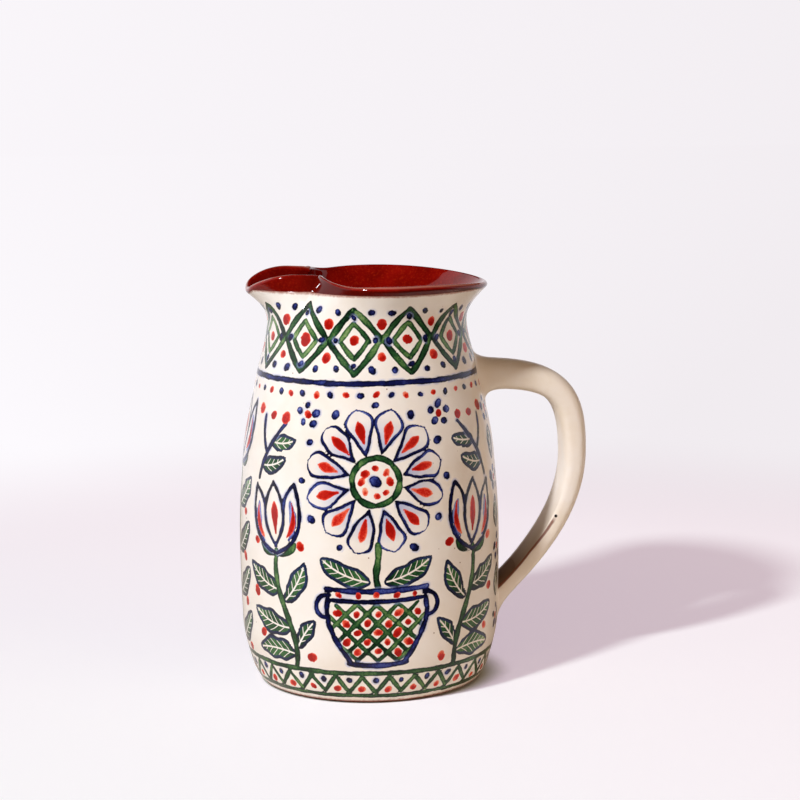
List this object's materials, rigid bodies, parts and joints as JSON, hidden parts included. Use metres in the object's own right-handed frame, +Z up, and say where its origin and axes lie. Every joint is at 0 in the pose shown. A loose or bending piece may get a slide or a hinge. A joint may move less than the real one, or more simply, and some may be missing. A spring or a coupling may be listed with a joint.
{
  "type": "ceramic jug",
  "caption": "Hand-thrown earthenware jug with a pulled pouring lip, glazed red inside, slipped and painted outside, with a strap handle luted to the wall, for serving drinks.",
  "frame": {"origin": "centre of the base, on the surface that the jug stands on", "axes": "+Z up along the axis of the thrown body, +X towards the handle, -X towards the pouring lip"},
  "size_m": [0.1711, 0.1264, 0.1999],
  "materials": {
    "red_clay": "bare fired red earthenware",
    "liner_glaze": "glossy clear glaze over red clay",
    "painted_slip": "white slip with brush painting under clear gloss glaze",
    "ivory_slip": "plain ivory slip under clear gloss glaze"
  },
  "bodies": {
    "root": {"thrown_body": "red_clay", "glaze_lining": "liner_glaze", "slip_coat": "painted_slip", "handle_strap": "ivory_slip", "upper_luting_coil": "ivory_slip", "lower_luting_coil": "ivory_slip"}
  },
  "joints": []
}
